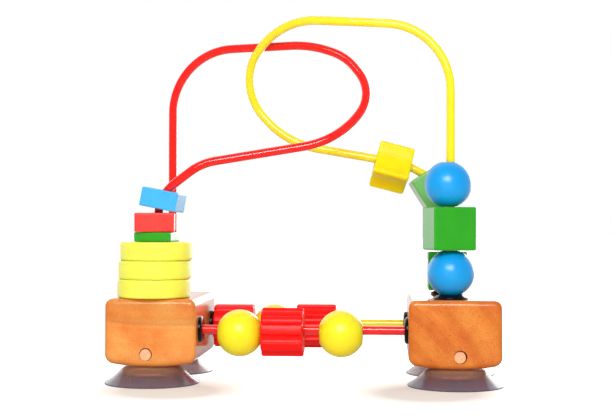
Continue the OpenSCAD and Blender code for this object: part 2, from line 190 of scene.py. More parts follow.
def spinOutline(outline, steps, closed):
    # half of the section, as (radius, height) points, is spun once round the Z axis
    piece, mesh = startCircle(len(outline))
    mesh.verts.ensure_lookup_table()
    for vert, (radius, height) in zip(list(mesh.verts), outline):
        vert.co = (radius, 0, height)
    if not closed:
        last = [edge for edge in mesh.edges
                if {vert.index for vert in edge.verts} == {0, len(outline) - 1}]
        bmesh.ops.delete(mesh, geom=last, context="EDGES")
    bmesh.update_edit_mesh(piece.data)
    bpy.ops.mesh.select_all(action="SELECT")
    bpy.ops.mesh.spin(steps=steps, angle=2 * math.pi, center=(0, 0, 0), axis=(0, 0, 1))
    closeMesh()
    return piece


def drillHole(piece, diameter, start, end):
    # a straight round hole from one point to another
    start, end = Vector(start), Vector(end)
    deselectAll()
    bpy.ops.mesh.primitive_cylinder_add(vertices=64, radius=diameter / 2, depth=(end - start).length)
    drill = bpy.context.object
    drill.data.transform(Matrix.Translation((start + end) / 2)
                         @ (end - start).to_track_quat("Z", "Y").to_matrix().to_4x4())
    pickOnly(piece)
    cut = piece.modifiers.new("drilled", "BOOLEAN")
    cut.operation = "DIFFERENCE"
    cut.solver = "EXACT"
    cut.object = drill
    bpy.ops.object.modifier_apply(modifier=cut.name)
    bpy.data.objects.remove(drill)


def copyPiece(piece):
    twin = piece.copy()
    twin.data = piece.data.copy()
    bpy.context.scene.collection.objects.link(twin)
    return twin


def finishPiece(piece, name, node, material, place=upright):
    pickOnly(piece)
    piece.name = name
    piece.data.name = name
    piece.data.transform(Matrix.Diagonal((mm, mm, mm, 1)) @ place)
    bpy.ops.object.shade_smooth_by_angle(angle=crisp)
    piece.data.materials.clear()
    piece.data.materials.append(material)
    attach(piece, frame["nodes"][node]["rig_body"])
    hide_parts(node)


# Material helpers

def hexToLinear(code):
    channels = [int(code[k:k + 2], 16) / 255 for k in (0, 2, 4)]
    return tuple(c / 12.92 if c <= 0.04045 else ((c + 0.055) / 1.055) ** 2.4 for c in channels) + (1.0,)


def grey(value):
    return (value, value, value, 1)


def perMetre(size):
    # repeats in a metre of a pattern that is this many millimetres wide
    return 1 / (size * mm)


def addNode(tree, kind, settings):
    # a setting that is another node's output is linked, and any other is set
    node = tree.nodes.new(kind)
    for name, value in settings.items():
        if isinstance(value, bpy.types.NodeSocket):
            tree.links.new(value, node.inputs[name])
        elif name == "stops":
            stops = node.color_ramp.elements
            for index, (position, colour) in enumerate(value):
                stop = stops[index] if index < 2 else stops.new(position)
                stop.position = position
                stop.color = colour
        elif isinstance(name, int) or name in node.inputs:
            node.inputs[name].default_value = value
        else:
            setattr(node, name, value)
    return node


def startMaterial(name, finish):
    material = bpy.data.materials.new(name)
    material.use_nodes = True
    tree = material.node_tree
    shader = tree.nodes["Principled BSDF"]
    for socket, value in finish.items():
        shader.inputs[socket].default_value = value
    return material, tree, shader, addNode(tree, "ShaderNodeTexCoord", {}).outputs["Object"]


def linkShader(tree, shader, sources):
    for socket, source in sources.items():
        tree.links.new(source, shader.inputs[socket])


def addSurface(tree, shader, values, sheen, relief):
    # one pattern varies the roughness, and the same or another is a shallow relief
    rough = addNode(tree, "ShaderNodeMapRange", {
        "To Min": values["gloss"][0], "To Max": values["gloss"][1], "Value": sheen,
    })
    bump = addNode(tree, "ShaderNodeBump", {
        "Strength": values["strength"], "Distance": values["depth"] * mm, "Height": relief,
    })
    linkShader(tree, shader, {"Roughness": rough.outputs["Result"], "Normal": bump.outputs["Normal"]})


# Varnished rubberwood: pale brown timber under an orange varnish, which darkens the growth bands,
# shows the pores as short dark flecks and gives a clear gloss over a soft surface

varnish = {
    "bandWidth": 14.0,  # between growth bands; all sizes here are in millimetres
    "stray": 3.0,  # how far the bands stray, and over what width
    "strayWidth": 22.22,
    "lengthways": 0.04,  # how much a step along the block counts against one across the bands
    "cloudWidth": 14.29,
    "cloudShare": 0.62,
    "poreWidth": 0.55,  # drawn three times as coarse as real so that it shows
    "poreLength": 1.5,
    "grainLength": 12.0,
    "raysToPore": 1.7,  # pale rays are this much finer than the pores
    "rippleWidth": 3.846,
    "rippleDepth": 0.06,
    "poreDepth": 0.05,
    "gloss": (0.34, 0.5),  # roughness under the coat
}
# "pith" is the middle of the growth rings along X and Z, seen from the block's centre, and "lines" are
# growth lines: place between the two distances from the pith in "span", and tone
leftTimber = {
    "centre": (-80, 0, 27),
    "pith": (10, 260),
    "tilt": 0,
    "flecks": 0.45,
    "light": "fcac58",
    "middle": "f8a44e",
    "dark": "ee9640",
    "fleck": "c87428",
    "cloud": "f2a456",
    "span": (236, 284),
    "lines": [(0.06, 1.0), (0.17, 0.82), (0.26, 0.93), (0.34, 0.84), (0.37, 0.76), (0.40, 0.97),
              (0.58, 1.0), (0.76, 0.93), (0.9, 1.0)],
}
rightTimber = {
    "centre": (80, 0, 27),
    "pith": (-75, -58),
    "tilt": 42,
    "flecks": 0.7,
    "light": "f09238",
    "middle": "e8862c",
    "dark": "de7a20",
    "fleck": "a8560e",
    "cloud": "e48c3c",
    "span": (60, 140),
    "lines": [(0.1, 1.0), (0.2, 0.95), (0.24, 1.0), (0.38, 0.93), (0.42, 1.0), (0.6, 0.95),
              (0.64, 1.0), (0.8, 0.95), (0.9, 1.0)],
}


def growthBands(tree, centred, timber, values):
    # the growth rings run round a line along the block, well outside it
    pithX, pithZ = timber["pith"]
    stray = addNode(tree, "ShaderNodeTexNoise", {
        "Scale": perMetre(values["strayWidth"]), "Detail": 3.0, "Roughness": 0.55, "Vector": centred,
    })
    shift = addNode(tree, "ShaderNodeVectorMath", {
        "operation": "MULTIPLY_ADD", 0: stray.outputs["Color"], 1: (values["stray"] * mm,) * 3,
        2: (-pithX * mm, 0, -pithZ * mm),
    })
    shifted = addNode(tree, "ShaderNodeVectorMath", {
        "operation": "ADD", 0: centred, 1: shift.outputs["Vector"],
    })
    flattened = addNode(tree, "ShaderNodeVectorMath", {
        "operation": "MULTIPLY", 0: shifted.outputs["Vector"], 1: (1, values["lengthways"], 1),
    })
    fromPith = addNode(tree, "ShaderNodeVectorMath", {
        "operation": "LENGTH", 0: flattened.outputs["Vector"],
    }).outputs["Value"]
    bandPlace = addNode(tree, "ShaderNodeMath", {
        "operation": "MULTIPLY", 0: fromPith, 1: perMetre(values["bandWidth"]),
    })
    bands = addNode(tree, "ShaderNodeTexNoise", {
        "noise_dimensions": "1D", "Scale": 1.0, "Detail": 4.0, "Roughness": 0.6,
        "W": bandPlace.outputs["Value"],
    })
    dark, middle, light = (hexToLinear(timber[tone]) for tone in ("dark", "middle", "light"))
    banded = addNode(tree, "ShaderNodeValToRGB", {
        "stops": [(0.30, dark), (0.45, middle), (0.62, light)], "Fac": bands.outputs["Fac"],
    })
    near, far = timber["span"]
    spanned = addNode(tree, "ShaderNodeMapRange", {
        "From Min": near * mm, "From Max": far * mm, "Value": fromPith,
    })
    lines = addNode(tree, "ShaderNodeValToRGB", {
        "stops": [(along, grey(tone)) for along, tone in timber["lines"]], "Fac": spanned.outputs["Result"],
    })
    return addNode(tree, "ShaderNodeMix", {
        "data_type": "RGBA", "blend_type": "MULTIPLY", 0: 1.0,
        6: banded.outputs["Color"], 7: lines.outputs["Color"],
    }).outputs[2]


def varnishedRubberwood(name, timber, values):
    material, tree, shader, place = startMaterial(name, {
        "IOR": 1.5, "Specular IOR Level": 0.3, "Coat Weight": 0.9, "Coat Roughness": 0.1, "Coat IOR": 1.5,
    })
    centred = addNode(tree, "ShaderNodeMapping", {
        "vector_type": "POINT", "Location": tuple(-c * mm for c in timber["centre"]), "Vector": place,
    }).outputs["Vector"]
    # cloudy patches where the varnish went deeper
    cloud = addNode(tree, "ShaderNodeTexNoise", {
        "Scale": perMetre(values["cloudWidth"]), "Detail": 2.0, "Vector": centred,
    }).outputs["Fac"]
    cloudTone = addNode(tree, "ShaderNodeValToRGB", {
        "stops": [(0.30, hexToLinear(timber["cloud"])), (0.65, grey(1.0))], "Fac": cloud,
    })
    clouded = addNode(tree, "ShaderNodeMix", {
        "data_type": "RGBA", "blend_type": "MULTIPLY", 0: values["cloudShare"],
        6: growthBands(tree, centred, timber, values), 7: cloudTone.outputs["Color"],
    })
    # pores: dashes across the end grain and long streaks along the block
    leant = addNode(tree, "ShaderNodeMapping", {
        "vector_type": "POINT", "Rotation": (0, math.radians(timber["tilt"]), 0), "Vector": centred,
    })
    stretched = addNode(tree, "ShaderNodeVectorMath", {
        "operation": "MULTIPLY", 0: leant.outputs["Vector"],
        1: tuple(perMetre(values[size]) for size in ("poreWidth", "grainLength", "poreLength")),
    }).outputs["Vector"]
    pores = addNode(tree, "ShaderNodeTexNoise", {
        "Scale": 1.0, "Detail": 1.0, "Vector": stretched,
    }).outputs["Fac"]
    poreMask = addNode(tree, "ShaderNodeValToRGB", {
        "stops": [(0.60, grey(0)), (0.74, grey(1))], "Fac": pores,
    })
    poreShare = addNode(tree, "ShaderNodeMath", {
        "operation": "MULTIPLY", 0: poreMask.outputs["Color"], 1: timber["flecks"],
    })
    flecked = addNode(tree, "ShaderNodeMix", {
        "data_type": "RGBA", 0: poreShare.outputs["Value"],
        6: clouded.outputs[2], 7: hexToLinear(timber["fleck"]),
    })
    # light rays between the pores
    rays = addNode(tree, "ShaderNodeTexNoise", {
        "Scale": values["raysToPore"], "Detail": 2.0, "Vector": stretched,
    })
    rayTone = addNode(tree, "ShaderNodeValToRGB", {
        "stops": [(0.35, grey(0.84)), (0.68, grey(1.0))], "Fac": rays.outputs["Fac"],
    })
    grained = addNode(tree, "ShaderNodeMix", {
        "data_type": "RGBA", "blend_type": "MULTIPLY", 0: 1.0,
        6: flecked.outputs[2], 7: rayTone.outputs["Color"],
    })
    # the varnish lies in long soft ripples and sinks a little into the pores
    ripple = addNode(tree, "ShaderNodeTexNoise", {
        "Scale": perMetre(values["rippleWidth"]), "Detail": 2.0, "Vector": centred,
    })
    rippled = addNode(tree, "ShaderNodeBump", {
        "Strength": 0.5, "Distance": values["rippleDepth"] * mm, "Height": ripple.outputs["Fac"],
    })
    sunk = addNode(tree, "ShaderNodeBump", {
        "Strength": 0.35, "Distance": values["poreDepth"] * mm, "invert": True,
        "Height": pores, "Normal": rippled.outputs["Normal"],
    }).outputs["Normal"]
    gloss = addNode(tree, "ShaderNodeMapRange", {
        "To Min": values["gloss"][0], "To Max": values["gloss"][1], "Value": cloud,
    })
    linkShader(tree, shader, {
        "Base Color": grained.outputs[2], "Roughness": gloss.outputs["Result"],
        "Normal": sunk, "Coat Normal": sunk,
    })
    return material


# Sprayed wood paint: an opaque enamel over turned or sawn beech. The colour is even and strong,
# the grain shows through as fine ridges, and the gloss is soft with an orange-peel skin

paint = {
    "grainWidth": 0.9,  # mm between raised grain lines
    "grainLength": 9.0,
    "peel": 1.6,  # mm across the orange-peel dimples
    "peelDepth": 0.04,
    "mottle": 9.0,  # mm across the slight changes of tone
    "coatRoughness": 0.24,
    "glow": 0.8,  # share of the light that spreads inside a yellow, how far per channel, and in metres
    "glowRadius": (1.0, 0.35, 0.05),
    "glowScale": 0.004,
}


def sprayedPaint(name, tones, skin, glow, values, centre, turn):
    material, tree, shader, place = startMaterial(name, {
        "IOR": 1.5, "Specular IOR Level": skin["shine"],
        "Coat Weight": skin["coat"], "Coat Roughness": values["coatRoughness"], "Coat IOR": 1.5,
        "Subsurface Weight": glow, "Subsurface Radius": values["glowRadius"],
        "Subsurface Scale": values["glowScale"],
    })
    colour, deep, thin = (hexToLinear(code) for code in tones)
    placed = addNode(tree, "ShaderNodeMapping", {
        "vector_type": "TEXTURE", "Location": tuple(c * mm for c in centre), "Rotation": turn,
        "Vector": place,
    }).outputs["Vector"]
    stretched = addNode(tree, "ShaderNodeVectorMath", {
        "operation": "MULTIPLY", 0: placed,
        1: tuple(perMetre(values[size]) for size in ("grainWidth", "grainWidth", "grainLength")),
    })
    grain = addNode(tree, "ShaderNodeTexNoise", {
        "Scale": 1.0, "Detail": 3.0, "Roughness": 0.6, "Vector": stretched.outputs["Vector"],
    }).outputs["Fac"]
    mottle = addNode(tree, "ShaderNodeTexNoise", {
        "Scale": perMetre(values["mottle"]), "Detail": 2.0, "Vector": placed,
    })
    toneShare = addNode(tree, "ShaderNodeMapRange", {
        "From Min": 0.35, "From Max": 0.7, "To Min": 0.0, "To Max": 0.35, "Value": mottle.outputs["Fac"],
    })
    toned = addNode(tree, "ShaderNodeMix", {
        "data_type": "RGBA", 0: toneShare.outputs["Result"], 6: colour, 7: deep,
    })
    # the paint is thinnest on the ridges of the grain
    ridge = addNode(tree, "ShaderNodeMapRange", {
        "From Min": 0.58, "From Max": 0.8, "To Min": 0.0, "To Max": 0.3, "Value": grain,
    })
    worn = addNode(tree, "ShaderNodeMix", {
        "data_type": "RGBA", 0: ridge.outputs["Result"], 6: toned.outputs[2], 7: thin,
    })
    sheen = addNode(tree, "ShaderNodeMapRange", {
        "To Min": skin["gloss"] - 0.06, "To Max": skin["gloss"] + 0.08, "Value": grain,
    })
    peel = addNode(tree, "ShaderNodeTexNoise", {
        "Scale": perMetre(values["peel"]), "Detail": 1.0, "Vector": placed,
    })
    peeled = addNode(tree, "ShaderNodeBump", {
        "Strength": 0.5, "Distance": values["peelDepth"] * mm, "Height": peel.outputs["Fac"],
    }).outputs["Normal"]
    ridged = addNode(tree, "ShaderNodeBump", {
        "Strength": 0.6, "Distance": skin["grain"] * mm, "Height": grain, "Normal": peeled,
    })
    linkShader(tree, shader, {
        "Base Color": worn.outputs[2], "Roughness": sheen.outputs["Result"],
        "Normal": ridged.outputs["Normal"], "Coat Normal": peeled,
    })
    return material


# Dip-coated steel wire: thick glossy vinyl over bright wire, with a wet look and slow waves

dip = {"waveWidth": 8.333, "depth": 0.06, "strength": 0.4, "speckWidth": 1.111, "gloss": (0.06, 0.13)}


def dippedWire(name, colour, deep, values):
    material, tree, shader, place = startMaterial(name, {
        "IOR": 1.52, "Coat Weight": 0.6, "Coat Roughness": 0.05, "Coat IOR": 1.5,
    })
    waves, specks = (
        addNode(tree, "ShaderNodeTexNoise", {
            "Scale": perMetre(values[size]), "Detail": 2.0, "Vector": place,
        }).outputs["Fac"] for size in ("waveWidth", "speckWidth"))
    tone = addNode(tree, "ShaderNodeMix", {
        "data_type": "RGBA", 0: waves, 6: hexToLinear(colour), 7: hexToLinear(deep),
    })
    linkShader(tree, shader, {"Base Color": tone.outputs[2]})
    addSurface(tree, shader, values, specks, waves)
    return material


# Moulded polypropylene, black: deep even colour, glossy mould finish with faint flow marks

plastic = {"flowWidth": 4.167, "depth": 0.04, "strength": 0.3, "gloss": (0.16, 0.34)}


def mouldedBlack(name, colour, deep, values):
    material, tree, shader, place = startMaterial(name, {
        "IOR": 1.49, "Specular IOR Level": 0.25, "Coat Weight": 0.35, "Coat Roughness": 0.04,
    })
    flow = addNode(tree, "ShaderNodeTexNoise", {
        "Scale": perMetre(values["flowWidth"]), "Detail": 3.0, "Vector": place,
    }).outputs["Fac"]
    tone = addNode(tree, "ShaderNodeMix", {
        "data_type": "RGBA", 0: flow, 6: hexToLinear(deep), 7: hexToLinear(colour),
    })
    linkShader(tree, shader, {"Base Color": tone.outputs[2]})
    addSurface(tree, shader, values, flow, flow)
    return material


# Clear soft vinyl: plasticised PVC with a smoky violet tint and a wet gloss. Its body is milky, and towards
# the block its tone turns to a painted warm timber colour, which stands in for the block seen through it

vinyl = {
    "hazeWidth": 6.25,
    "depth": 0.1,
    "strength": 0.3,
    "gloss": (0.18, 0.32),
    "tintFrom": 1.0,  # mm above the table where the tint starts to change, and where it ends
    "tintTo": 10.5,
    "waviness": 1.5,
}


def softVinyl(name, low, middle, paintedTimberTone, values):
    material, tree, shader, place = startMaterial(name, {
        "IOR": 1.53, "Transmission Weight": 0.8, "Specular IOR Level": 0.4,
        "Coat Weight": 0.2, "Coat Roughness": 0.06,
    })
    haze = addNode(tree, "ShaderNodeTexNoise", {
        "Scale": perMetre(values["hazeWidth"]), "Detail": 3.0, "Vector": place,
    }).outputs["Fac"]
    parts = addNode(tree, "ShaderNodeSeparateXYZ", {"Vector": place})
    wavy = addNode(tree, "ShaderNodeMath", {
        "operation": "MULTIPLY_ADD", 0: haze, 1: values["waviness"] * mm, 2: parts.outputs["Z"],
    })
    height = addNode(tree, "ShaderNodeMapRange", {
        "From Min": values["tintFrom"] * mm, "From Max": values["tintTo"] * mm,
        "Value": wavy.outputs["Value"],
    })
    # the tone runs from violet at the table to a painted timber colour towards the block, for the block seen
    # through the vinyl
    tone = addNode(tree, "ShaderNodeValToRGB", {
        "stops": [(0.05, hexToLinear(low)), (0.5, hexToLinear(middle)), (0.95, hexToLinear(paintedTimberTone))],
        "Fac": height.outputs["Result"],
    })
    linkShader(tree, shader, {"Base Color": tone.outputs["Color"]})
    addSurface(tree, shader, values, haze, haze)
    return material


# Bare birch dowel: unvarnished, pinkish end grain with fine pores and a dry surface

birch = {"poreWidth": 0.6667, "grainLength": 8.333, "depth": 0.08, "strength": 0.5, "gloss": (0.6, 0.85)}


def bareBirch(name, colour, deep, values):
    material, tree, shader, place = startMaterial(name, {"IOR": 1.45, "Specular IOR Level": 0.3})
    fibres = addNode(tree, "ShaderNodeVectorMath", {
        "operation": "MULTIPLY", 0: place,
        1: tuple(perMetre(values[size]) for size in ("poreWidth", "grainLength", "poreWidth")),
    })
    pores = addNode(tree, "ShaderNodeTexNoise", {
        "Scale": 1.0, "Detail": 3.0, "Vector": fibres.outputs["Vector"],
    }).outputs["Fac"]
    tone = addNode(tree, "ShaderNodeValToRGB", {
        "stops": [(0.30, hexToLinear(deep)), (0.62, hexToLinear(colour))], "Fac": pores,
    })
    linkShader(tree, shader, {"Base Color": tone.outputs["Color"]})
    addSurface(tree, shader, values, pores, pores)
    return material


leftWood = varnishedRubberwood("varnishedRubberwoodLeft", leftTimber, varnish)
rightWood = varnishedRubberwood("varnishedRubberwoodRight", rightTimber, varnish)
blackPlastic = mouldedBlack("mouldedBlackPlastic", "101012", "050506", plastic)
frontVinyl = softVinyl("clearSoftVinylFront", "a498b4", "ae8c94", "fec49e", vinyl)
# The rear cups get a much paler copy of the same vinyl: painted light, for the backlight that shines through
# them
backlitRearVinyl = softVinyl("clearSoftVinylRearPaintedBacklight", "ece0ea", "f2dcde", "ffe8d8", vinyl)
bareWood = bareBirch("bareBirchDowel", "fcc098", "e49a72", birch)
redWire = dippedWire("dipCoatedWireRed", "ff302c", "f01c1a", dip)
yellowWire = dippedWire("dipCoatedWireYellow", "fff03a", "fbdc20", dip)
print("materials made")


# Wooden blocks

blocks = {
    "across": 80.0,  # distance of a block's centre from the middle
    "width": 48.5,
    "length": 75.0,
    "height": 36.0,
    "lift": 9.3,  # underside above the table
    "upperRadius": 4.0,
    "lowerRadius": 5.0,
    "bellyRadius": 120.0,
    "endRadius": 3.0,
    "midRing": 18.0,  # extra ring of the mesh, from the block's middle
    "legX": 78.25,
    "legY": 22.0,
    "legHole": 4.9,
    "legDepth": 13.0,
    "seatHole": 8.1,
    "seatDepth": 8.0,
    "innerFace": 55.75,  # distance from the middle
    "wireHeight": 28.3,
    "bushHole": 8.1,
    "bushDepth": 8.0,
    "cupX": 80.5,
    "cupY": 26.75,
    "cupHole": 12.1,
    "cupDepth": 14.0,
    "dowelX": 82.3,
    "dowelHeight": 15.8,
    "dowelHole": 6.9,
    "dowelFrom": 17.0,  # inner end of a dowel's hole, from the block's middle
    "dowelSlack": 0.25,  # a dowel sits low and to the left in its hole
    "past": 1.0,  # a drill goes this far beyond a face
}
# label, ending of the node's name, end of the left half (-1 is its front) and turn
corners = [
    ("frontLeft", "front_left", -1, upright),
    ("rearLeft", "rear_left", 1, upright),
    ("rearRight", "rear_right", -1, halfTurn),
    ("frontRight", "front_right", 1, halfTurn),
]


def blockOutline(values, inset, y):
    half, top = values["width"] / 2 - inset, values["height"] / 2 - inset
    upper, lower = values["upperRadius"] - inset, values["lowerRadius"] - inset
    belly = values["bellyRadius"] - inset
    bellyZ = values["bellyRadius"] - values["height"] / 2
    cornerX = half - lower
    cornerZ = bellyZ - math.sqrt((belly - lower) ** 2 - cornerX ** 2)
    away = math.atan2(cornerZ - bellyZ, cornerX)
    topCorner = arcPoints(half - upper, top - upper, upper, 0, math.pi / 2, 8)
    points = topCorner + [((half - upper) * (1 - k / 4), top) for k in range(1, 8)]
    points += [(-x, z) for x, z in reversed(topCorner)]
    points += [(-half, top - upper + (cornerZ - top + upper) * k / 5) for k in range(1, 5)]
    points += arcPoints(-cornerX, cornerZ, lower, math.pi, math.pi - away, 8)
    points += arcPoints(0, bellyZ, belly, -math.pi - away, away, 16)[1:-1]
    points += arcPoints(cornerX, cornerZ, lower, away, 0, 8)
    points += [(half, cornerZ + (top - upper - cornerZ) * k / 5) for k in range(1, 5)]
    return [(x, y, z + values["lift"] + values["height"] / 2) for x, z in points]


def drillBlock(piece, values, end, seated):
    # the holes at one end of a block; under a seat, a wide hole comes before the leg's own
    top, past = values["lift"] + values["height"], values["past"]
    legX, legY, legBottom = -values["legX"], end * values["legY"], top - values["legDepth"]
    if seated:
        seatBottom = top - values["seatDepth"]
        drillHole(piece, values["seatHole"], (legX, legY, seatBottom), (legX, legY, top + past))
        drillHole(piece, values["legHole"], (legX, legY, legBottom), (legX, legY, seatBottom + past))
    else:
        drillHole(piece, values["legHole"], (legX, legY, legBottom), (legX, legY, top + past))
    wireX, wireZ = -values["innerFace"], values["wireHeight"]
    bushX = wireX - values["bushDepth"]
    drillHole(piece, values["bushHole"], (bushX, legY, wireZ), (wireX + past, legY, wireZ))
    cupX, cupY, bottom = -values["cupX"], end * values["cupY"], values["lift"]
    cupTop = bottom + values["cupDepth"]
    drillHole(piece, values["cupHole"], (cupX, cupY, bottom - past), (cupX, cupY, cupTop))
    slack = values["dowelSlack"]
    dowelX = -values["dowelX"] + (-slack if seated else slack)
    inner, outer = end * values["dowelFrom"], end * (values["length"] / 2 + past)
    dowelZ = values["dowelHeight"] + slack
    drillHole(piece, values["dowelHole"], (dowelX, inner, dowelZ), (dowelX, outer, dowelZ))


def makeBlock(values, seated):
    end, radius = values["length"] / 2, values["endRadius"]
    rings = [blockOutline(values, radius + 0.5, -end)]
    for x, z in arcPoints(0, 0, radius, 0, math.pi / 2, 8):
        rings.append(blockOutline(values, radius - z, radius - end - x))
    rings += [blockOutline(values, 0, y) for y in (radius - end + 0.5, -values["midRing"], 0)]
    rings += [[(x, -y, z) for x, y, z in ring] for ring in reversed(rings[:-1])]
    piece = extrudeRings(rings, True)
    piece.data.transform(moved(-values["across"], 0, 0))
    for side in (-1, 1):
        drillBlock(piece, values, side, seated)
    return piece


finishPiece(makeBlock(blocks, False), "leftBlock", "block_left", leftWood)
finishPiece(makeBlock(blocks, True), "rightBlock", "block_right", rightWood, halfTurn)
print("blocks made")


# Suction cups and the dowels that lock them

cups = {
    "neck": 6.0,
    "neckTop": 23.25,
    "neckEdge": 0.8,
    "neckRings": (11.0, 9.6),  # heights of two rings that keep the neck straight
    "lipEdge": 0.3,
    "outer": [(6.0, 9.25), (13.2, 9.25), (15.6, 8.45), (17.2, 6.9), (19.2, 4.75), (21.6, 2.9), (24.0, 1.35),
              (25.2, 0.7)],
    "inner": [(23.9, 0.0), (21.0, 1.55), (18.6, 2.9), (16.2, 4.6), (13.6, 5.9), (9.0, 6.25), (0.0, 6.25)],
    "dowelHole": 6.3,
    "holeFrom": 16.0,  # the hole's two ends, from the block's middle
    "holeTo": 40.0,
}
dowels = {"diameter": 6.2, "length": 20.0, "edge": 0.35, "recess": 0.5}


def softened(points, rounds):
    # corners of an open outline are cut, with its ends kept
    for _ in range(rounds):
        cut = [points[0]]
        for (a, b), (c, d) in zip(points, points[1:]):
            cut += [(0.75 * a + 0.25 * c, 0.75 * b + 0.25 * d), (0.25 * a + 0.75 * c, 0.25 * b + 0.75 * d)]
        points = cut + [points[-1]]
    return points


def makeCup(values):
    neck, top, edge = values["neck"], values["neckTop"], values["neckEdge"]
    rim, lip = values["outer"][-1]
    outline = [(0.0, top), (neck - edge, top)]
    outline += curvedPoints((neck - edge, top), (neck, top), (neck, top - edge), 4)[1:]
    outline += [(neck, height) for height in values["neckRings"]]
    outline += softened(values["outer"], 2)
    outline += curvedPoints((rim, lip), (rim, 0.0), (rim - values["lipEdge"], 0.0), 4)[1:]
    outline += softened(values["inner"], 2)
    return spinOutline(outline, 128, False)


def makeDowel(values):
    radius, length, edge = values["diameter"] / 2, values["length"], values["edge"]
    outline = [(0.0, 0.0), (radius * 0.6, 0.0), (radius - edge - 0.1, 0.0)]
    outline += curvedPoints((radius - edge, 0.0), (radius, 0.0), (radius, edge), 4)
    outline += [(radius, 1.0), (radius, length - 1.0), (radius, length - edge)]
    outline += [(radius - edge, length), (0.0, length)]
    return spinOutline(outline, 48, False)


cupModel, dowelModel = makeCup(cups), makeDowel(dowels)
dowelX, dowelZ = -blocks["dowelX"], blocks["dowelHeight"]
for label, corner, end, place in corners:
    cup = copyPiece(cupModel)
    cup.data.transform(moved(-blocks["cupX"], end * blocks["cupY"], 0))
    holeFrom, holeTo = end * cups["holeFrom"], end * cups["holeTo"]
    drillHole(cup, cups["dowelHole"], (dowelX, holeFrom, dowelZ), (dowelX, holeTo, dowelZ))
    # the rear cups take the paler vinyl copy, whose tones are painted backlight
    finishPiece(cup, label + "Cup", "cup_" + corner, frontVinyl if "front" in corner else backlitRearVinyl,
                place)
    dowel = copyPiece(dowelModel)
    outerEnd = end * (blocks["length"] / 2 - dowels["recess"])
    dowel.data.transform(moved(dowelX, outerEnd, dowelZ) @ turned(x=90 * end))
    finishPiece(dowel, label + "Dowel", "dowel_" + corner, bareWood, place)
bpy.data.objects.remove(cupModel)
bpy.data.objects.remove(dowelModel)
print("cups and dowels made")


# Wires: two straight ones between the blocks and a bent loop on each block

wires = {"diameter": 4.8, "bendSteps": 28, "reach": 71.7}
redLoop = {
    "corners": [(-78.25, 22, 32.3), (-78.25, 22, 183.3), (1.75, 10, 185.3), (21.75, 6, 177.8),
                (37.75, 0, 157.3), (18.75, -14, 129.8), (-55.25, -22, 117.3), (-78.25, -22, 99.8),
                (-78.25, -22, 32.3)],
    "radii": [36, 60, 30, 22.5, 46, 31, 22],
}
yellowLoop = {
    "corners": [(-78.25, 22, 32.3), (-78.25, 22, 189.8), (-19.25, 18, 193.8), (15.25, 2, 197.8),
                (41.75, -20, 162.8), (11.25, -18, 130.3), (-54.25, -22, 119), (-78.25, -22, 106.3),
                (-78.25, -22, 32.3)],
    "radii": [36, 75, 48, 28, 50, 20, 26],
}


def straightRoute(y):
    return [Vector((x, y, blocks["wireHeight"])) for x in (-wires["reach"], 0, wires["reach"])]


def bendOf(loop, index):
    # the arc at one corner: its centre, the arm from there to its start, its axis and its angle
    before, corner, after = (Vector(loop["corners"][k]) for k in (index - 1, index, index + 1))
    radius = loop["radii"][index - 1]
    back, ahead = (before - corner).normalized(), (after - corner).normalized()
    turn = math.pi - back.angle(ahead)
    centre = corner + (back + ahead).normalized() * radius / math.cos(turn / 2)
    out = (corner + back * radius * math.tan(turn / 2) - centre).normalized()
    return centre, out * radius, out.cross(-back).normalized(), turn


def bentRoute(loop, steps):
    # straight runs, with an arc at each corner between the two ends
    route = [Vector(loop["corners"][0])]
    for index in range(1, len(loop["corners"]) - 1):
        centre, arm, axis, turn = bendOf(loop, index)
        route += [centre + Matrix.Rotation(turn * k / steps, 3, axis) @ arm for k in range(steps + 1)]
    return route + [Vector(loop["corners"][-1])]


def makeWire(route, diameter):
    path = bpy.data.curves.new("route", "CURVE")
    path.dimensions = "3D"
    path.bevel_depth = diameter / 2
    path.bevel_resolution = 7
    path.use_fill_caps = True
    spline = path.splines.new("POLY")
    spline.points.add(len(route) - 1)
    for point, place in zip(spline.points, route):
        point.co = (*place, 1)
    wire = bpy.data.objects.new("wire", path)
    bpy.context.scene.collection.objects.link(wire)
    pickOnly(wire)
    bpy.ops.object.convert(target="MESH")
    return bpy.context.object


steps = wires["bendSteps"]
for name, node, route, material, slotName, place in (
    ("frontWire", "wire_front", straightRoute(-blocks["legY"]), redWire, "red_coating", upright),
    ("rearWire", "wire_rear", straightRoute(blocks["legY"]), yellowWire, "yellow_coating", upright),
    ("redLoop", "loop_red", bentRoute(redLoop, steps), redWire, "red_coating", upright),
    ("yellowLoop", "loop_yellow", bentRoute(yellowLoop, steps), yellowWire, "yellow_coating", halfTurn),
):
    finishPiece(makeWire(route, wires["diameter"]), name, node, material, place)
print("wires made")


# Black bushes where the straight wires go in, and dished seats under the right stacks

bushes = {"flange": 7.0, "thickness": 2.0, "bore": 2.45, "sleeve": 4.0, "sleeveLength": 8.0}
seats = {
    "radius": 9.3,
    "edge": 0.8,
    "rim": 5.9,
    "height": 2.5,
    "ballRadius": 12.65,  # the dish fits a ball of this size, with its centre this far above the rim
    "ballHeight": 11.189,
    "bore": 2.45,
    "sleeve": 4.0,
    "sleeveLength": 8.0,
}


def sleeveOutline(values):
    # the part that goes into the block, up to the flange's underside
    bore, sleeve, length = values["bore"], values["sleeve"], values["sleeveLength"]
    return [(bore, -length), (sleeve, -length), (sleeve, -0.3), (sleeve, 0.0)]


def makeBush(values):
    flange, thick, bore = values["flange"], values["thickness"], values["bore"]
    outline = sleeveOutline(values) + [(flange - 0.4, 0.0)]
    outline += curvedPoints((flange - 0.2, 0.0), (flange, 0.0), (flange, 0.3), 3)
    outline += curvedPoints((flange, thick * 0.4), (flange - 0.3, thick * 0.9), (flange - 1.6, thick), 8)
    outline += [(flange - 2.0, thick), (bore + 1.0, thick)]
    outline += curvedPoints((bore + 0.5, thick), (bore, thick), (bore, thick - 0.5), 4)
    return spinOutline(outline, 64, True)


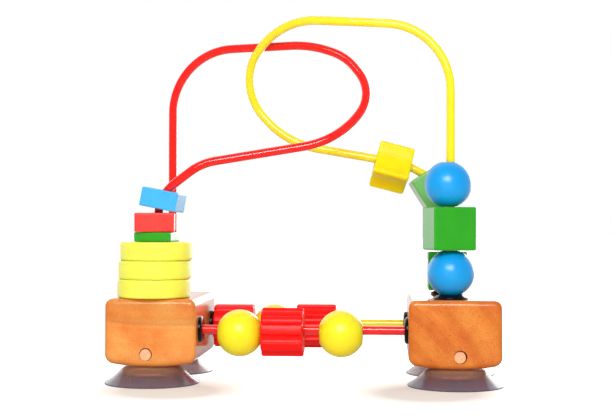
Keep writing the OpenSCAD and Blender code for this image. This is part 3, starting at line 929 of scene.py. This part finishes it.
def makeSeat(values):
    radius, edge, rim, tall = values["radius"], values["edge"], values["rim"], values["height"]
    outline = sleeveOutline(values) + [(radius - 0.5, 0.0)]
    outline += curvedPoints((radius - 0.25, 0.0), (radius, 0.0), (radius, 0.25), 3)
    outline += curvedPoints((radius, edge - 0.2), (radius, edge), (radius - 0.35, edge + 0.17), 3)
    outline += curvedPoints((rim + 0.5, tall - 0.25), (rim + 0.1, tall), (rim - 0.25, tall - 0.12), 5)
    for k in range(1, 7):
        out = rim - 0.3 - (rim - 0.3 - values["bore"]) * k / 6
        outline.append((out, values["ballHeight"] + tall - math.sqrt(values["ballRadius"] ** 2 - out ** 2)))
    return spinOutline(outline, 80, True)


bushModel, seatModel = makeBush(bushes), makeSeat(seats)
for label, corner, end, place in corners:
    bush = copyPiece(bushModel)
    onFace = moved(-blocks["innerFace"], end * blocks["legY"], blocks["wireHeight"])
    bush.data.transform(onFace @ turned(y=90))
    finishPiece(bush, label + "Bush", "bush_" + corner, blackPlastic, place)
for end, name, node in ((-1, "frontSeat", "seat_front"), (1, "rearSeat", "seat_rear")):
    place = moved(blocks["legX"], end * blocks["legY"], blocks["lift"] + blocks["height"])
    finishPiece(copyPiece(seatModel), name, node, blackPlastic, place)
bpy.data.objects.remove(bushModel)
bpy.data.objects.remove(seatModel)
print("bushes and seats made")


# Beads: each shape is modelled with its hole along Z and then placed. A bead hangs on its wire, and
# "hang" is how far its centre is below the wire's

balls = {"radius": 12.5, "hole": 8.9, "stackHole": 8.2, "lip": 0.55, "tube": 3.0, "hang": 1.85}
discs = {"radius": 19.7, "thick": 9.8, "edge": 1.2, "hole": 10.0, "lip": 0.5}
gears = {
    "front": 25.8,
    "rear": 24.6,
    "length": 22.4,
    "flutes": 8,
    "fluteRadius": 3.0,
    "fluteDepth": 1.7,
    "edge": 1.0,
    "drawIn": 1.0,  # how much a flute widens as the end's edge draws in
    "frontHole": 7.6,
    "rearHole": 8.2,
    "lip": 0.4,
    "crest": 0.4,
    "frontHang": 1.2,
    "rearHang": 1.5,
}
lobes = {
    "diameter": 27.6,
    "length": 20.0,
    "flutes": 4,
    "fluteRadius": 17.8,
    "fluteDepth": 5.6,
    "edge": 1.5,
    "drawIn": 0.3,
    "hole": 12.2,
    "lip": 0.4,
    "crest": 1.0,
    "hang": 3.3,
    "along": 7.1,  # place on the loop's straight run
    "slant": 14.5,  # degrees
    "spin": 70,
}
squares = {
    "frontCube": 22.8,
    "rearCube": 21.5,
    "cubeEdge": 0.9,
    "cubeHole": 9.4,
    "cubeHang": 1.7,
    "slab": 20.0,
    "redSlab": 21.0,
    "slabEdge": 0.7,
    "slabHole": 9.0,
    "slabHang": 0.7,
    "greenThick": 5.0,
    "redThick": 10.2,
    "blueThick": 10.2,
    "lip": 0.4,
}


def makeBall(values, hole):
    radius, bore, lip = values["radius"], hole / 2, values["lip"]
    start = math.asin((bore + lip) / radius)
    outline = [(x, z) for z, x in arcPoints(0, 0, radius, start, math.pi - start, 48)]
    rim = math.sqrt(radius ** 2 - bore ** 2)
    low = curvedPoints(outline[-1], (bore, -rim), (bore, -rim + lip * 1.3), 5)[1:]
    outline += low + [(bore, -values["tube"]), (bore, values["tube"])] + [(r, -z) for r, z in reversed(low)]
    return spinOutline(outline, 96, True)


def makeDisc(values):
    radius, edge, bore, lip = values["radius"], values["edge"], values["hole"] / 2, values["lip"]
    low = curvedPoints((bore, lip), (bore, 0.0), (bore + lip, 0.0), 4)
    low += [(bore + 1.0, 0.0), (radius - edge - 0.5, 0.0)]
    low += arcPoints(radius - edge, edge, edge, -math.pi / 2, 0, 7)
    low += [(radius, edge + 0.4)]
    return spinOutline(low + [(r, values["thick"] - z) for r, z in reversed(low)], 128, True)


def flutedOutline(values, diameter, inset):
    # flute, rise, land and drop, repeated all round
    big = diameter / 2 - inset
    small = values["fluteRadius"] + inset * values["drawIn"]
    out = diameter / 2 - values["fluteDepth"] + values["fluteRadius"]
    crest = max(values["crest"] - inset * 0.3, 0.15)
    pitch = 2 * math.pi / values["flutes"]
    meet = math.acos((big ** 2 + out ** 2 - small ** 2) / (2 * big * out))
    lean = math.atan2(big * math.sin(meet), big * math.cos(meet) - out)
    first, landFrom = lean + crest / small, meet + crest / big
    flute = arcPoints(out, 0, small, 2 * math.pi - first, first, 14)
    land = arcPoints(0, 0, big, landFrom, pitch - landFrom, 10)
    rise = curvedPoints(flute[-1], (big * math.cos(meet), big * math.sin(meet)), land[0], 4)[1:-1]
    drop = spunPoints([(x, -y) for x, y in reversed(rise)], pitch)
    points = []
    for k in range(values["flutes"]):
        points += spunPoints(flute + rise + land + drop, (k + 0.5) * pitch)
    return points


def squareOutline(side, radius, inset):
    corner = max(radius - inset, 0.05)
    reach = side / 2 - inset - corner
    row = arcPoints(reach, reach, corner, 0, math.pi / 2, 5)
    row += [(x, reach + corner) for x in (reach - 0.4, reach * 0.5, 0.0, -reach * 0.5, -reach + 0.4)]
    points = []
    for quarter in range(4):
        points += spunPoints(row, quarter * math.pi / 2)
    return points


def makeHoledBead(outlineAt, length, edge, hole, lip):
    # outlineAt gives the bead's section drawn in by a distance; rings run from the upper end to the lower
    bore, half = hole / 2, length / 2
    angles = [math.atan2(y, x) for x, y in outlineAt(0)]

    def roundRing(radius, height):
        return [(radius * math.cos(a), radius * math.sin(a), height) for a in angles]

    def outerRing(inset, height):
        return [(x, y, height) for x, y in outlineAt(inset)]

    rings = [roundRing(bore, half - lip - 0.3)]
    rings += [roundRing(bore + lip - x, half - lip + z) for x, z in arcPoints(0, 0, lip, 0, math.pi / 2, 4)]
    rings += [roundRing(bore + lip + 0.3, half), outerRing(edge + 0.35, half)]
    rings += [outerRing(edge - z, half - edge + x) for x, z in arcPoints(0, 0, edge, 0, math.pi / 2, 5)]
    rings.append(outerRing(0, half - edge - 0.35))
    rings += [[(x, y, -z) for x, y, z in ring] for ring in reversed(rings)]
    rings.append(rings[0])
    return extrudeRings(rings, False)


def makeFluted(values, diameter, hole):
    def outlineAt(inset):
        return flutedOutline(values, diameter, inset)

    return makeHoledBead(outlineAt, values["length"], values["edge"], hole, values["lip"])


def makeSquare(values, side, thick, kind):
    edge = values[kind + "Edge"]

    def outlineAt(inset):
        return squareOutline(side, edge, inset)

    return makeHoledBead(outlineAt, thick, edge, values[kind + "Hole"], values["lip"])


# slot of the paint, colour, deeper tone and the tone where the paint is thin
colours = {
    "yellow": ("yellow_paint", "fff02a", "fde018", "fff856"),
    # a deeper, more orange copy of the yellow paint for the lobed bead: painted shade, for the orange shade
    # in its deep flutes
    "lobeYellowPaintedShade": ("yellow_paint", "ffe60a", "fad000", "fff030"),
    "paleYellow": ("yellow_paint", "fffc60", "fdf446", "fffd88"),
    "red": ("red_paint", "fa0a08", "ea0604", "ff2a24"),
    "slabRed": ("red_paint", "fb322e", "f02624", "ff6a64"),
    "blue": ("blue_paint", "06a2f2", "0086dc", "28b0f8"),
    "slabBlue": ("blue_paint", "3cb4f8", "2aa2ee", "84d2ff"),
    "green": ("green_paint", "28a81a", "1e9614", "50b440"),
    "paleGreen": ("green_paint", "6cb85a", "50a844", "90cc80"),
}
# depth of the raised grain in mm, coat, specular level and roughness of the paint
skins = {
    "smooth": {"grain": 0.03, "coat": 0.35, "shine": 0.5, "gloss": 0.29},
    "plain": {"grain": 0.07, "coat": 0.35, "shine": 0.5, "gloss": 0.32},
    "ridged": {"grain": 0.14, "coat": 0.12, "shine": 0.25, "gloss": 0.32},
    "dry": {"grain": 0.07, "coat": 0.05, "shine": 0.25, "gloss": 0.32},
}
models = {
    "ball": (makeBall(balls, balls["hole"]), "smooth"),
    "stackBall": (makeBall(balls, balls["stackHole"]), "smooth"),
    "disc": (makeDisc(discs), "plain"),
    "frontGear": (makeFluted(gears, gears["front"], gears["frontHole"]), "ridged"),
    "rearGear": (makeFluted(gears, gears["rear"], gears["rearHole"]), "ridged"),
    "lobes": (makeFluted(lobes, lobes["diameter"], lobes["hole"]), "dry"),
    "greenSlab": (makeSquare(squares, squares["slab"], squares["greenThick"], "slab"), "plain"),
    "redSlab": (makeSquare(squares, squares["redSlab"], squares["redThick"], "slab"), "plain"),
    "blueSlab": (makeSquare(squares, squares["slab"], squares["blueThick"], "slab"), "plain"),
    "frontCube": (makeSquare(squares, squares["frontCube"], squares["frontCube"], "cube"), "plain"),
    "rearCube": (makeSquare(squares, squares["rearCube"], squares["rearCube"], "cube"), "plain"),
}


def onBend(loop, hang, placeAngle, lean):
    # on a loop's last bend, which is upright: placeAngle counts from the leg
    up = math.radians(placeAngle)
    centre = bendOf(loop, len(loop["radii"]))[0]
    away = Vector((-math.cos(up), 0, math.sin(up))) * (loop["radii"][-1] - hang)
    return moved(*(centre + away)) @ turned(y=lean)


def onWire(x, y, hang, spin=0):
    return moved(x, y, blocks["wireHeight"] - hang) @ turned(y=90) @ turned(z=spin)


def onRun(loop, values):
    # on the long straight run before the loop's last two bends
    start, end = (Vector(loop["corners"][k]) for k in (-3, -4))
    run = (end - start).normalized()
    place = start + run * values["along"] - Vector((0, 0, values["hang"]))
    heading = math.degrees(math.atan2(run.y, run.x))
    return moved(*place) @ turned(y=90 - values["slant"], z=heading) @ turned(z=values["spin"])


front, rear = -blocks["legY"], blocks["legY"]
# name, node, shape, colour and place
beads = [
    ("frontLeftBall", "ball_front_left", "ball", "yellow", onWire(-34.07, front, balls["hang"])),
    ("frontRightBall", "ball_front_right", "ball", "yellow", onWire(20.193, front, balls["hang"])),
    ("rearBall", "ball_rear", "ball", "yellow", onWire(-19.069, rear, balls["hang"])),
    ("frontGear", "gear_front", "frontGear", "red", onWire(-10.888, front, gears["frontHang"], 34.5)),
    ("rearLeftGear", "gear_rear_left", "rearGear", "red", onWire(-42.25, rear, gears["rearHang"], 20)),
    ("rearRightGear", "gear_rear_right", "rearGear", "red", onWire(4.612, rear, gears["rearHang"], 1)),
    ("lowerDisc", "disc_lower", "disc", "paleYellow", moved(-80.55, front, 45.45)),
    ("middleDisc", "disc_middle", "disc", "paleYellow", moved(-80.05, front, 55.4) @ turned(z=70)),
    ("upperDisc", "disc_upper", "disc", "paleYellow", moved(-79.2, front, 65.35) @ turned(z=160)),
    ("greenSlab", "slab_green", "greenSlab", "green", moved(-79.05, front, 77.8) @ turned(z=-4)),
    ("redSlab", "slab_red", "redSlab", "slabRed", moved(-80.05, front, 85.55) @ turned(z=8)),
    ("blueSlab", "slab_blue", "blueSlab", "slabBlue",
     onBend(redLoop, squares["slabHang"], 24.5, 11) @ turned(z=-5)),
    ("lowerBlueBall", "ball_blue_lower", "stackBall", "blue", moved(78.25, front, 58.99)),
    ("frontCube", "cube_front", "frontCube", "green", moved(77.35, front, 82.5) @ turned(z=14.5)),
    ("upperBlueBall", "ball_blue_upper", "stackBall", "blue", moved(76.85, front, 106.01)),
    ("rearCube", "cube_rear", "rearCube", "green", moved(78.25, rear, 58.7)),
    ("rearBlueBall", "ball_blue_rear", "ball", "blue", moved(79.75, rear, 81.28)),
    ("tiltedCube", "cube_tilted", "rearCube", "paleGreen",
     halfTurn @ onBend(yellowLoop, squares["cubeHang"], 35.8, 32.2) @ turned(z=4)),
    ("lobedBead", "lobed_bead", "lobes", "lobeYellowPaintedShade", halfTurn @ onRun(yellowLoop, lobes)),
]
for name, node, shape, colour, place in beads:
    model, skin = models[shape]
    slotName, *tones = colours[colour]
    glow = paint["glow"] if slotName == "yellow_paint" else 0.0
    finish = sprayedPaint("sprayedPaint" + name[0].upper() + name[1:], tones, skins[skin], glow, paint,
                          place.translation, place.to_euler())
    finishPiece(copyPiece(model), name, node, finish, place)
for model, skin in models.values():
    bpy.data.objects.remove(model)
print("beads made")


# Table, backdrop and light

studio = {
    "floorSize": 12.0,
    "floorAlbedo": (0.85, 0.80, 0.755, 1),
    "glowTint": (1.0, 0.985, 0.97, 1),
    "glowInPaintedShadow": 0.06,  # what a camera ray sees on top of the lit floor: little in the painted shadow in front of each block, and white away from it
    "farGlow": 1.0,
    "glowFrom": 0.023,  # metres from the centre of the painted shadow in front of a block
    "glowTo": 0.062,
    "paintedShadowCentre": (0.066, -0.058),
    "frontLight": 0.685,  # world light on the object, from the camera's side and from behind
    "backLight": 0.42,
    "mirroredFrom": -0.4,  # the floor in reflections: metres along Y, and its level on the way back
    "mirroredTo": 0.4,
    "mirroredLevels": [(0.0, 0.05), (0.4, 0.2), (0.55, 0.35), (0.9, 1.0)],
    "frontReflection": 0.04,  # the dark room behind the camera, seen only in reflections
    "darkUpTo": -0.1,  # its extent, as a reflected ray's share along Y
    "whiteFrom": 0.65,
    "aim": (0, 0, 80),  # where every lamp points, in mm
}
# power in watts, size in metres, place in mm, tint, and whether reflections show it
lamps = {
    "key": (2.2, (0.3, 0.3), (45, -640, 390), (1, 1, 1), True),
    "strip": (0.45, (0.05, 0.3), (-199, -640, 420), (1, 1, 1), True),
    # its reflection is the bright line on the front wire's left end
    "lineStrip": (0.25, (0.04, 0.2), (-139, -640, 400), (1, 1, 1), True),
    # warm light that comes up from the table's front
    "low": (0.28, (0.6, 0.05), (0, -420, 20), (1, 0.75, 0.3), False),
    "rightBack": (20.0, (1.6, 1.6), (700, 1900, 350), (1, 1, 1), True),
    "leftBack": (2.0, (1.2, 1.2), (-1150, 1750, 350), (1, 1, 1), True),
}


def seenRays(tree):
    # 1 for camera, glossy and transmission rays
    rays = addNode(tree, "ShaderNodeLightPath", {}).outputs
    direct = addNode(tree, "ShaderNodeMath", {
        "operation": "MAXIMUM", 0: rays["Is Camera Ray"], 1: rays["Is Glossy Ray"],
    })
    seen = addNode(tree, "ShaderNodeMath", {
        "operation": "MAXIMUM", 0: direct.outputs["Value"], 1: rays["Is Transmission Ray"],
    })
    return seen.outputs["Value"], rays


def cameraGlowWithPaintedShadow(tree, seen, across, values):
    # what is seen on top of the lit floor; it fades near a point in front of each block and leaves a painted
    # shadow there, darker than the white floor even where the floor is lit
    folded = addNode(tree, "ShaderNodeMath", {"operation": "ABSOLUTE", 0: across["X"]})
    spot = addNode(tree, "ShaderNodeCombineXYZ", {"X": folded.outputs["Value"], "Y": across["Y"]})
    away = addNode(tree, "ShaderNodeVectorMath", {
        "operation": "DISTANCE", 0: spot.outputs["Vector"], 1: (*values["paintedShadowCentre"], 0),
    })
    share = addNode(tree, "ShaderNodeMapRange", {
        "From Min": values["glowFrom"], "From Max": values["glowTo"],
        "To Min": values["glowInPaintedShadow"], "To Max": values["farGlow"], "Value": away.outputs["Value"],
    })
    shown = addNode(tree, "ShaderNodeMath", {
        "operation": "MULTIPLY", 0: seen, 1: share.outputs["Result"],
    })
    return addNode(tree, "ShaderNodeEmission", {
        "Color": values["glowTint"], "Strength": shown.outputs["Value"],
    }).outputs["Emission"]


def mirroredFloor(tree, across, values):
    # the floor in reflections: dark in front and white at the back
    depth = addNode(tree, "ShaderNodeMapRange", {
        "From Min": values["mirroredFrom"], "From Max": values["mirroredTo"], "Value": across["Y"],
    })
    levels = addNode(tree, "ShaderNodeValToRGB", {
        "stops": [(along, grey(tone)) for along, tone in values["mirroredLevels"]],
        "Fac": depth.outputs["Result"],
    })
    return addNode(tree, "ShaderNodeEmission", {"Color": levels.outputs["Color"]}).outputs["Emission"]


def mattTable(values):
    material, tree, shader, place = startMaterial("mattWhiteTable", {
        "Base Color": values["floorAlbedo"], "Roughness": 0.9, "Specular IOR Level": 0.0,
    })
    seen, rays = seenRays(tree)
    across = addNode(tree, "ShaderNodeSeparateXYZ", {"Vector": place}).outputs
    lit = addNode(tree, "ShaderNodeAddShader", {
        0: shader.outputs["BSDF"], 1: cameraGlowWithPaintedShadow(tree, seen, across, values),
    })
    look = addNode(tree, "ShaderNodeMixShader", {
        0: rays["Is Glossy Ray"], 1: lit.outputs["Shader"], 2: mirroredFloor(tree, across, values),
    })
    tree.links.new(look.outputs["Shader"], tree.nodes["Material Output"].inputs["Surface"])
    return material


def makeSky(values):
    # white for the camera, darker towards the front in reflections, and soft on the object
    sky = bpy.data.worlds.new("whiteStudio")
    sky.use_nodes = True
    tree = sky.node_tree
    tree.nodes.clear()
    seen, rays = seenRays(tree)
    direction = addNode(tree, "ShaderNodeTexCoord", {}).outputs["Generated"]
    heading = addNode(tree, "ShaderNodeSeparateXYZ", {"Vector": direction}).outputs["Y"]
    behind = addNode(tree, "ShaderNodeMapRange", {
        "From Min": values["darkUpTo"], "From Max": values["whiteFrom"],
        "To Min": values["frontReflection"], "To Max": 1.0, "Value": heading,
    })
    reflected = addNode(tree, "ShaderNodeMath", {
        "operation": "MAXIMUM", 0: behind.outputs["Result"], 1: rays["Is Camera Ray"],
    })
    onObject = addNode(tree, "ShaderNodeMapRange", {
        "From Min": -1.0, "From Max": 1.0,
        "To Min": values["frontLight"], "To Max": values["backLight"], "Value": heading,
    })
    level = addNode(tree, "ShaderNodeMix", {
        "data_type": "FLOAT", 0: seen, 2: onObject.outputs["Result"], 3: reflected.outputs["Value"],
    })
    backdrop = addNode(tree, "ShaderNodeBackground", {"Color": grey(1), "Strength": level.outputs[0]})
    addNode(tree, "ShaderNodeOutputWorld", {"Surface": backdrop.outputs["Background"]})
    return sky


def addSoftLamp(name, power, size, place, tint, mirrored, aim):
    lamp = bpy.data.lights.new(name, "AREA")
    lamp.shape = "ELLIPSE"
    lamp.size, lamp.size_y = size
    lamp.energy = power
    lamp.color = tint
    holder = bpy.data.objects.new(name, lamp)
    bpy.context.scene.collection.objects.link(holder)
    holder.location = Vector(place) * mm
    holder.rotation_mode = "QUATERNION"
    holder.rotation_quaternion = (Vector(aim) - Vector(place)).to_track_quat("-Z", "Y")
    holder.visible_camera = False
    holder.visible_glossy = mirrored


bpy.ops.mesh.primitive_plane_add(size=studio["floorSize"], location=(0, 0, 0))
table = bpy.context.object
table.name = "paleTable"
table.data.materials.append(mattTable(studio))
bpy.context.scene.world = makeSky(studio)
for name, values in lamps.items():
    addSoftLamp(name, *values, studio["aim"])
bpy.context.scene.view_settings.view_transform = "Standard"
print("studio lit")
